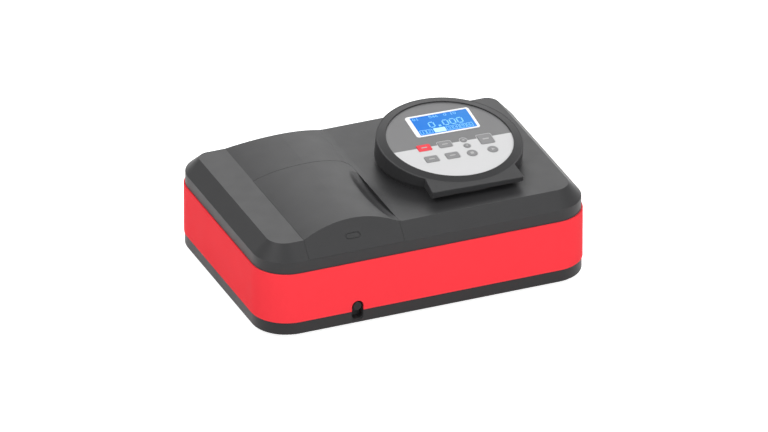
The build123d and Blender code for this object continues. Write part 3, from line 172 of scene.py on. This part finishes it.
def moulded(name, colour, rough=(0.44, 0.48), grain=1500.0, depth=0.00004, strength=0.2, shine=0.22):
    """Moulded plastic with a fine spark-eroded grain."""
    shader = Shader(name)
    shader.colour(colour, vary=0.015)
    shader.put(Specular_IOR_Level=shine)
    shader.roughness(*rough)
    shader.bump(shader.noise(grain, detail=2.0), depth, strength)
    return shader.material


def smooth_plastic(name, colour, rough=(0.24, 0.30), shine=0.3):
    """Smooth plastic of one even colour."""
    shader = Shader(name)
    shader.colour(colour, vary=0.01)
    shader.put(Specular_IOR_Level=shine)
    shader.roughness(*rough)
    shader.bump(shader.noise(900.0, detail=1.0), 0.00001, 0.1)
    return shader.material


def metal(name, colour, rough=(0.28, 0.38), stretch=(1.0, 1.0, 1.0), grain=900.0):
    """Bare metal with machining marks."""
    shader = Shader(name)
    shader.colour(colour, vary=0.05, scale=60.0)
    shader.roughness(*rough)
    shader.bump(shader.noise(grain, stretch=stretch), 0.00002, 0.2)
    shader.put(Metallic=1.0)
    return shader.material


def painted(name, colour, rough=(0.55, 0.68)):
    """Powder-coated metal."""
    shader = Shader(name)
    shader.colour(colour)
    shader.roughness(*rough)
    shader.bump(shader.noise(1100.0, detail=1.0), 0.00008, 0.35)
    return shader.material


def clear_glass(name):
    """Clear optical glass."""
    shader = Shader(name)
    shader.colour(srgb(235, 245, 250), vary=0.01)
    shader.roughness(0.02, 0.05)
    shader.put(Transmission_Weight=1.0, IOR=1.5)
    return shader.material


def board(name):
    """Green circuit board with faint tracks."""
    shader = Shader(name)
    tracks = shader.remap(shader.noise(160.0, detail=0.0, stretch=(1.0, 0.15, 1.0)), 0, 1, 0.48, 0.52)
    shader.link(shader.mix(tracks, srgb(14, 84, 44), srgb(28, 104, 56)), shader.bsdf.inputs["Base Color"])
    shader.roughness(0.3, 0.4)
    return shader.material


def along_face(shader, way):
    """Distance along one direction of the pod's face, in millimetres, of each point of a surface."""
    dot = shader.node("ShaderNodeVectorMath", operation="DOT_PRODUCT")
    dot.inputs[1].default_value = way
    away = shader.node("ShaderNodeVectorMath", operation="SUBTRACT")
    away.inputs[1].default_value = POD_CENTRE * MM
    shader.link(shader.coordinates, away.inputs[0])
    shader.link(away.outputs["Vector"], dot.inputs[0])
    scaled = shader.node("ShaderNodeMath", operation="DIVIDE")
    scaled.inputs[1].default_value = MM
    shader.link(dot.outputs["Value"], scaled.inputs[0])
    return scaled.outputs["Value"]


def overlay_print(name):
    """Printed film: grey above, pale below, with a satin surface."""
    shader = Shader(name)
    pale = shader.remap(along_face(shader, POD_UP), 1, 0, PRINT_EDGE - 0.15, PRINT_EDGE + 0.15)
    shader.link(shader.mix(pale, PRINT_GREY, PRINT_PALE), shader.bsdf.inputs["Base Color"])
    shader.roughness(0.38, 0.44)
    shader.bump(shader.noise(2500.0, detail=1.0), 0.00001, 0.15)
    return shader.material


def lit(name, colour, glow, strength):
    """A sign on the display: its own light over a glossy colour."""
    shader = Shader(name)
    shader.colour(colour, vary=0.02, scale=30.0)
    shader.roughness(0.16, 0.22)
    shader.put(Emission_Color=glow, Emission_Strength=strength)
    return shader.material


def display_film(name):
    """Backlit display, deep blue that grows paler to the right."""
    shader = Shader(name)
    across = shader.remap(along_face(shader, POD_ACROSS), 0, 1, *DISPLAY_SPAN)
    shader.link(shader.mix(across, DISPLAY_LEFT, DISPLAY_RIGHT), shader.bsdf.inputs["Emission Color"])
    shader.colour(srgb(10, 84, 160), vary=0.02, scale=30.0)
    shader.roughness(0.16, 0.22)
    shader.put(Specular_IOR_Level=0.08, Emission_Strength=0.5)
    return shader.material


CASE_GREY = srgb(49, 49, 50)
# The tray is the case's grey plastic made darker: painted shade, because it sits low under the case.
TRAY_GREY_PAINTED_SHADE = srgb(38, 38, 39)
POD_GREY = srgb(54, 54, 55)
BAND_RED = srgb(252, 64, 73)
PRINT_GREY = srgb(101, 101, 102)
PRINT_PALE = srgb(203, 203, 204)
KEY_GREY = srgb(134, 134, 135)
KEY_OUTLINE = srgb(188, 188, 189)
KEY_RED = srgb(232, 48, 64)
DISPLAY_SPAN = (-30.0, 45.0)  # from left to right, in millimetres
DISPLAY_LEFT = srgb(12, 132, 236)
DISPLAY_RIGHT = srgb(60, 156, 236)

case_plastic = moulded("case_plastic", CASE_GREY)
tray_plastic_painted_shade = moulded("tray_plastic_painted_shade", TRAY_GREY_PAINTED_SHADE)
pod_plastic = moulded("pod_plastic", POD_GREY, shine=0.14)
band_plastic = smooth_plastic("band_plastic", BAND_RED, rough=(0.44, 0.5), shine=0.01)
overlay_film = overlay_print("overlay_film")
outline_ink = smooth_plastic("outline_ink", KEY_OUTLINE, rough=(0.4, 0.46))
key_film = moulded("key_film", KEY_GREY, rough=(0.38, 0.44), strength=0.1)
key_red_film = moulded("key_red_film", KEY_RED, rough=(0.38, 0.44), strength=0.1)
icon_ink = smooth_plastic("icon_ink", srgb(176, 176, 176), rough=(0.4, 0.46))
frame_white = smooth_plastic("frame_white", srgb(252, 252, 253), rough=(0.3, 0.36))
display_blue = display_film("display_blue")
display_ink = lit("display_ink", srgb(90, 180, 240), srgb(140, 212, 255), 0.42)
display_white = lit("display_white", srgb(150, 215, 230), srgb(190, 235, 245), 0.42)
rubber = moulded("rubber", srgb(30, 30, 30), rough=(0.7, 0.8), grain=700.0, depth=0.0001)
black_plastic = moulded("black_plastic", srgb(24, 24, 25), rough=(0.3, 0.4))
black_paint = painted("black_paint", srgb(26, 26, 27))
steel = metal("steel", (0.56, 0.57, 0.58, 1.0), stretch=(1.0, 0.05, 1.0))
cast_metal = metal("cast_metal", (0.45, 0.46, 0.47, 1.0), rough=(0.45, 0.6), grain=400.0)
mirror = metal("mirror", (0.9, 0.9, 0.92, 1.0), rough=(0.02, 0.05))
ruled = metal("ruled", (0.6, 0.68, 0.8, 1.0), rough=(0.1, 0.2), stretch=(1.0, 12.0, 0.02))
green_board = board("green_board")
glass = clear_glass("glass")

BY_SLOT = {
    "case_grey": case_plastic,
    "band_red": band_plastic,
    "pod_grey": pod_plastic,
    "overlay_print": overlay_film,
    "display_white": frame_white,
    "display_blue": display_blue,
    "key_grey": key_film,
    "key_red": key_red_film,
    "rubber": rubber,
    "steel": steel,
    "black_plastic": black_plastic,
    "black_metal": black_paint,
    "cast_metal": cast_metal,
    "board_green": green_board,
    "mirror": mirror,
    "grating": ruled,
    "glass": glass,
}
# The base tray takes the darker copy of the case plastic, which paints shade on it.
BY_NODE = {"base_tray": tray_plastic_painted_shade}


def dress_nodes():
    """Gives the base tray a darker copy of the case plastic as painted shade, and each other CAD node the
    material of its slot.
    """
    for subpart in frame["record"]["subparts"]:
        node = NODES[subpart["node"]]
        node.data.materials.clear()
        node.data.materials.append(BY_NODE.get(subpart["node"], BY_SLOT[subpart["material_slot"]]))


# Meshes on the control pod


def pod_matrix(height=0.0):
    """Places a flat drawing in millimetres on the pod's face, at one height above its plane."""
    turn = Matrix((POD_ACROSS, POD_UP, POD_NORMAL)).transposed().to_4x4()
    origin = (POD_CENTRE + POD_NORMAL * height) * MM
    return Matrix.Translation(origin) @ turn @ Matrix.Scale(MM, 4)


def rounded_rectangle(x, y, width, height, radius, steps=8):
    """Points round a rectangle with rounded corners."""
    points = []
    for corner in range(4):
        side_x = 1 if corner in (0, 3) else -1
        side_y = 1 if corner < 2 else -1
        middle = (x + side_x * (width / 2 - radius), y + side_y * (height / 2 - radius))
        for step in range(steps + 1):
            angle = math.radians(90 * corner + 90 * step / steps)
            points.append((middle[0] + radius * math.cos(angle), middle[1] + radius * math.sin(angle)))
    return points


def circle(x, y, radius, steps=48):
    """Points round a circle."""
    return [
        (x + radius * math.cos(2 * math.pi * k / steps), y + radius * math.sin(2 * math.pi * k / steps))
        for k in range(steps)
    ]


def key_shape(key, gap):
    """Outline of a key, or of a line at some distance round it."""
    _, x, y, width, height = key
    if height == 0:
        return circle(x, y, width / 2 + gap)
    return rounded_rectangle(x, y, width + 2 * gap, height + 2 * gap, KEY_CORNER + gap)


def add_prism(mesh, points, low, high):
    """A closed prism over a flat outline."""
    bottom = [mesh.verts.new((x, y, low)) for x, y in points]
    top = [mesh.verts.new((x, y, high)) for x, y in points]
    mesh.faces.new(list(reversed(bottom)))
    mesh.faces.new(top)
    for index in range(len(points)):
        after = (index + 1) % len(points)
        mesh.faces.new((bottom[index], bottom[after], top[after], top[index]))


def add_band(mesh, outer, inner, low, high):
    """A closed ring between two outlines with as many points."""
    count = len(outer)
    outer_low = [mesh.verts.new((x, y, low)) for x, y in outer]
    outer_high = [mesh.verts.new((x, y, high)) for x, y in outer]
    inner_low = [mesh.verts.new((x, y, low)) for x, y in inner]
    inner_high = [mesh.verts.new((x, y, high)) for x, y in inner]
    for index in range(count):
        after = (index + 1) % count
        mesh.faces.new((outer_high[index], outer_high[after], inner_high[after], inner_high[index]))
        mesh.faces.new((outer_low[after], outer_low[index], inner_low[index], inner_low[after]))
        mesh.faces.new((outer_low[index], outer_low[after], outer_high[after], outer_high[index]))
        mesh.faces.new((inner_low[after], inner_low[index], inner_high[index], inner_high[after]))


def finish_mesh(mesh, name, matrix, material, body):
    """Turns a bmesh into an object in the row frame that rides on a body."""
    bmesh.ops.recalc_face_normals(mesh, faces=mesh.faces)
    data = bpy.data.meshes.new(name)
    mesh.to_mesh(data)
    mesh.free()
    data.transform(matrix)
    piece = bpy.data.objects.new(name, data)
    bpy.context.scene.collection.objects.link(piece)
    data.materials.append(material)
    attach(piece, body)
    return piece


def key_outlines():
    """Pale printed line round each key but the zero key."""
    mesh = bmesh.new()
    for key in KEYS:
        if key[0] == "key_zero":
            continue
        add_band(mesh, key_shape(key, OUTLINE_WIDTH), key_shape(key, KEY_GAP), 0, PRINT)
    finish_mesh(mesh, "key_outlines", pod_matrix(FACE), outline_ink, "case")


def triangle(x, y, size, turn):
    """Points of a triangle that looks along one angle."""
    return [
        (x + size * math.cos(math.radians(turn + 120 * k)), y + size * math.sin(math.radians(turn + 120 * k)))
        for k in range(3)
    ]


ARROW_SIZE = 2.0
ARROW_SHIFT = 0.4
START_SIZE = 2.8
STOP_SIZE = 4.4
STOP_CORNER = 0.4
ENTER_BAR = (9.0, 2.2, 1.0)  # width, height and corner radius
PLAIN_BAR = (8.0, 1.8, 0.8)


def key_icons():
    """One plain symbol on each key."""
    for name, x, y, _, _ in KEYS:
        mesh = bmesh.new()
        if name == "key_up":
            add_prism(mesh, triangle(x, y - ARROW_SHIFT, ARROW_SIZE, 90), 0, PRINT)
        elif name == "key_down":
            add_prism(mesh, triangle(x, y + ARROW_SHIFT, ARROW_SIZE, -90), 0, PRINT)
        elif name == "key_start":
            add_prism(mesh, triangle(x, y, START_SIZE, 0), 0, PRINT)
        elif name == "key_stop":
            add_prism(mesh, rounded_rectangle(x, y, STOP_SIZE, STOP_SIZE, STOP_CORNER), 0, PRINT)
        elif name == "key_enter":
            add_prism(mesh, rounded_rectangle(x, y, *ENTER_BAR), 0, PRINT)
        else:
            add_prism(mesh, rounded_rectangle(x, y, *PLAIN_BAR), 0, PRINT)
        finish_mesh(mesh, name + "_icon", pod_matrix(KEY_TOP), icon_ink, name + "_cap")


GLYPHS = {
    "0": ("01110", "10001", "10001", "10001", "10001", "10001", "01110"),
    "1": ("00100", "01100", "00100", "00100", "00100", "00100", "01110"),
    "2": ("01110", "10001", "00001", "00110", "01000", "10000", "11111"),
    "3": ("01110", "10001", "00001", "00110", "00001", "10001", "01110"),
    "4": ("00010", "00110", "01010", "10010", "11111", "00010", "00010"),
    "5": ("11111", "10000", "11110", "00001", "00001", "10001", "01110"),
    "6": ("00110", "01000", "10000", "11110", "10001", "10001", "01110"),
    ".": ("00000", "00000", "00000", "00000", "00000", "01100", "01100"),
}
DOT_GAP = 0.12  # share of each dot's step that stays dark


def add_glyph(mesh, sign, left, bottom, width, height):
    """A numeral made of dots, as on a graphic display."""
    rows = GLYPHS[sign]
    step_x, step_y = width / 5, height / 7
    for row, line in enumerate(rows):
        for column, dot in enumerate(line):
            if dot == "1":
                x = left + column * step_x
                y = bottom + (len(rows) - 1 - row) * step_y
                right = x + step_x * (1 - DOT_GAP)
                top = y + step_y * (1 - DOT_GAP)
                add_prism(mesh, ((x, y), (right, y), (right, top), (x, top)), 0, PRINT)


LARGE_DIGITS = ((-14.4, "0"), (-3.6, "."), (5.0, "0"), (15.0, "0"), (25.0, "0"))
LARGE_BOTTOM = 30.9
LARGE_SIZE = (8.6, 12.5)
SMALL_DIGITS = (
    (-30.5, "0"),
    (-26.0, "1"),
    (-7.5, "5"),
    (-3.0, "4"),
    (1.5, "6"),
    (13.0, "0"),
    (22.0, "1"),
    (26.5, "0"),
)
SMALL_BOTTOM = 51.2
SMALL_SIZE = (3.6, 5.0)
MENU_BOTTOM = 19.4
MENU_TOP = 28.4
MENU_CELLS = ((-31.5, "1"), (-22.5, "2"), (5.5, "3"), (15.0, "4"), (24.5, "5"), (34.0, "6"))
MENU_CHOSEN = (-12.0, 4.2)  # left and right edge of the chosen cell
MENU_WIDTH = 8.4
MENU_LINE = 0.6
MENU_CORNER = 1.2  # outer corner radius, in line widths


def display_text():
    """Plain numerals on the lit display."""
    menu_middle = (MENU_BOTTOM + MENU_TOP) / 2
    menu_height = MENU_TOP - MENU_BOTTOM
    mesh = bmesh.new()
    for left, sign in LARGE_DIGITS:
        add_glyph(mesh, sign, left, LARGE_BOTTOM, *LARGE_SIZE)
    for left, sign in SMALL_DIGITS:
        add_glyph(mesh, sign, left, SMALL_BOTTOM, *SMALL_SIZE)
    for left, sign in MENU_CELLS:
        x = left + MENU_WIDTH / 2
        outer = rounded_rectangle(x, menu_middle, MENU_WIDTH, menu_height, MENU_LINE * MENU_CORNER)
        inner_width = MENU_WIDTH - 2 * MENU_LINE
        inner_height = menu_height - 2 * MENU_LINE
        inner = rounded_rectangle(x, menu_middle, inner_width, inner_height, MENU_LINE)
        add_band(mesh, outer, inner, 0, PRINT)
        add_glyph(mesh, sign, x - SMALL_SIZE[0] / 2, menu_middle - SMALL_SIZE[1] / 2, *SMALL_SIZE)
    finish_mesh(mesh, "display_text", pod_matrix(GLASS_TOP), display_ink, "case")
    mesh = bmesh.new()
    left, right = MENU_CHOSEN
    cell = rounded_rectangle((left + right) / 2, menu_middle, right - left, menu_height, MENU_LINE)
    add_prism(mesh, cell, 0, PRINT)
    finish_mesh(mesh, "display_cursor", pod_matrix(GLASS_TOP), display_white, "case")


# Floor, lights and camera


WORLD_LEVEL = 0.45
FLOOR_SIZE = 12.0
FLOOR_THICK = 0.02
FLOOR_TOP = -0.0002  # just under the feet
FLOOR_COLOUR = (0.8, 0.8, 0.8, 1.0)
FLOOR_GLOW = 0.85
LIGHT_AIM = Vector((0.0, 0.0, 0.08))
# Each softbox: name, direction from the object, distance, width and height, radiance
LIGHTS = (
    ("back_right", (0.336, 0.812, 0.478), 2.5, (2.4, 1.4), 2.3),
    ("left_high", (-0.62, -0.14, 0.776), 2.2, (1.1, 1.1), 4.6),
    ("front_low", (0.15, -0.95, 0.34), 2.6, (2.4, 1.0), 2.8),
    ("front_high", (0.336, -0.536, 0.796), 2.4, (1.4, 1.0), 2.4),
)


def seen_directly(tree):
    """One on camera, glossy and transmission rays, which show the white surroundings, and zero on others."""
    path = tree.nodes.new("ShaderNodeLightPath")
    first = tree.nodes.new("ShaderNodeMath")
    first.operation = "MAXIMUM"
    tree.links.new(path.outputs["Is Camera Ray"], first.inputs[0])
    tree.links.new(path.outputs["Is Glossy Ray"], first.inputs[1])
    seen = tree.nodes.new("ShaderNodeMath")
    seen.operation = "MAXIMUM"
    tree.links.new(first.outputs["Value"], seen.inputs[0])
    tree.links.new(path.outputs["Is Transmission Ray"], seen.inputs[1])
    return seen.outputs["Value"]


def world_light():
    """White surroundings where they are seen, and a softer level as a light."""
    world = bpy.data.worlds.new("studio")
    bpy.context.scene.world = world
    world.use_nodes = True
    tree = world.node_tree
    background = tree.nodes["Background"]
    background.inputs["Color"].default_value = (1.0, 1.0, 1.0, 1.0)
    level = tree.nodes.new("ShaderNodeMapRange")
    level.inputs["To Min"].default_value = WORLD_LEVEL
    level.inputs["To Max"].default_value = 1.0
    tree.links.new(seen_directly(tree), level.inputs["Value"])
    tree.links.new(level.outputs["Result"], background.inputs["Strength"])


def studio_floor():
    """Pale floor that shows white and keeps a soft shadow."""
    mesh = bmesh.new()
    outline = rounded_rectangle(0, 0, FLOOR_SIZE, FLOOR_SIZE, FLOOR_SIZE / 3)
    add_prism(mesh, outline, -FLOOR_THICK, FLOOR_TOP)
    data = bpy.data.meshes.new("floor")
    mesh.to_mesh(data)
    mesh.free()
    floor = bpy.data.objects.new("floor", data)
    bpy.context.scene.collection.objects.link(floor)
    material = bpy.data.materials.new("floor_white")
    material.use_nodes = True
    tree = material.node_tree
    bsdf = tree.nodes["Principled BSDF"]
    bsdf.inputs["Base Color"].default_value = FLOOR_COLOUR
    bsdf.inputs["Roughness"].default_value = 0.9
    bsdf.inputs["Specular IOR Level"].default_value = 0.0
    level = tree.nodes.new("ShaderNodeMath")
    level.operation = "MULTIPLY"
    level.inputs[1].default_value = FLOOR_GLOW
    tree.links.new(seen_directly(tree), level.inputs[0])
    bsdf.inputs["Emission Color"].default_value = (1.0, 1.0, 1.0, 1.0)
    tree.links.new(level.outputs["Value"], bsdf.inputs["Emission Strength"])
    data.materials.append(material)


def softbox(name, way, distance, size, radiance):
    """An area light of one brightness that looks at the object from one direction."""
    light = bpy.data.lights.new(name, "AREA")
    light.shape = "RECTANGLE"
    light.size, light.size_y = size
    light.energy = radiance * math.pi * size[0] * size[1]
    lamp = bpy.data.objects.new(name, light)
    bpy.context.scene.collection.objects.link(lamp)
    lamp.location = LIGHT_AIM + Vector(way).normalized() * distance
    lamp.rotation_euler = (LIGHT_AIM - lamp.location).to_track_quat("-Z", "Y").to_euler()
    lamp.visible_camera = False


def photo_camera():
    """Camera at the photograph's viewing angle and framing."""
    forward = Vector(
        (
            math.sin(VIEW_AZIMUTH) * math.cos(VIEW_ELEVATION),
            math.cos(VIEW_AZIMUTH) * math.cos(VIEW_ELEVATION),
            -math.sin(VIEW_ELEVATION),
        )
    )
    right = Vector((math.cos(VIEW_AZIMUTH), -math.sin(VIEW_AZIMUTH), 0.0))
    up = right.cross(forward)
    distance = FOCAL_PIXELS / PIXELS_PER_MM
    place = AIM - forward * distance - right * SLIDE_RIGHT - up * SLIDE_UP
    data = bpy.data.cameras.new("photo_camera")
    data.sensor_width = SENSOR
    data.lens = FOCAL_PIXELS / IMAGE_WIDTH * SENSOR
    data.clip_start = CLIP_START
    data.clip_end = CLIP_END
    camera = bpy.data.objects.new("photo_camera", data)
    bpy.context.scene.collection.objects.link(camera)
    camera.matrix_world = Matrix.Translation(place * MM) @ Matrix((right, up, -forward)).transposed().to_4x4()
    bpy.context.scene.camera = camera


dress_nodes()
key_outlines()
key_icons()
display_text()
world_light()
studio_floor()
for light in LIGHTS:
    softbox(*light)
photo_camera()
bpy.context.scene.view_settings.view_transform = "Standard"
